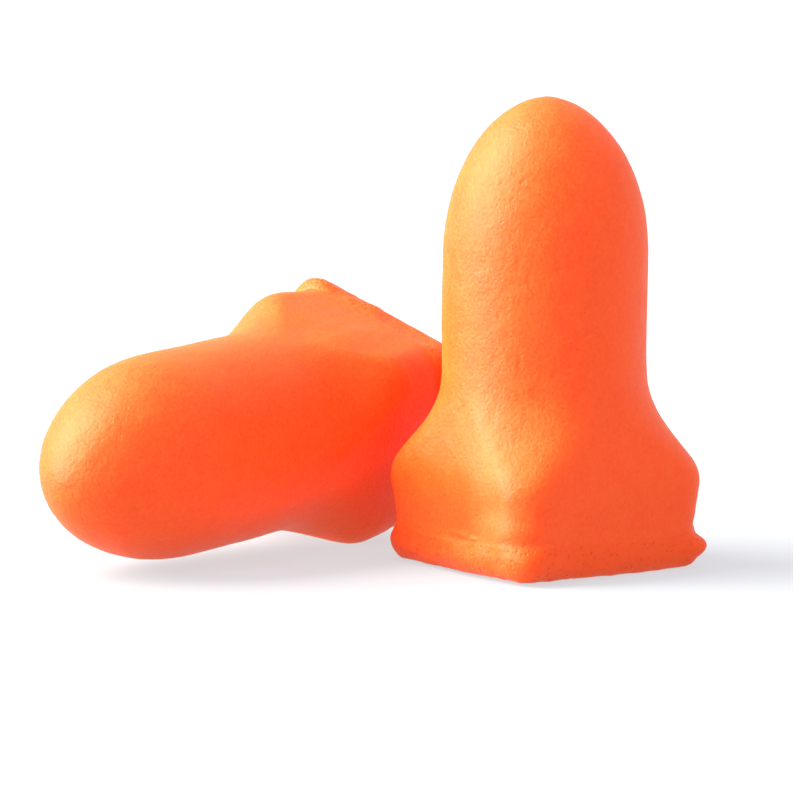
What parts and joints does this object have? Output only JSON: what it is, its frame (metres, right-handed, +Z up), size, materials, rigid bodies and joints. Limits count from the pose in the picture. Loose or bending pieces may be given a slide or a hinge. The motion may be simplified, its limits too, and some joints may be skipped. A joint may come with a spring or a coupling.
{
  "type": "foam ear plugs",
  "caption": "Soft bell-shaped foam ear plugs with a domed round stem and a flared square base, one standing and one lying beside it.",
  "frame": {"origin": "centre of the pair's box in plan, at the height of the surface that both plugs rest on", "axes": "+Z up along the standing plug's axis from base to tip, +X towards the standing plug's side, +Y away from the side that shows both plugs"},
  "size_m": [0.036, 0.0252, 0.0257],
  "materials": {
    "orange_foam": "matt slow-recovery polyurethane foam with a smooth moulded skin"
  },
  "bodies": {
    "standing_plug": {"upright_ear_plug": "orange_foam"},
    "lying_plug": {"lying_ear_plug": "orange_foam"}
  },
  "joints": [
    {"name": "lying_plug_lift", "type": "slide", "parent": "standing_plug", "child": "lying_plug", "axis": [0, 0, 1], "range_m": [0, 0.03]}
  ]
}
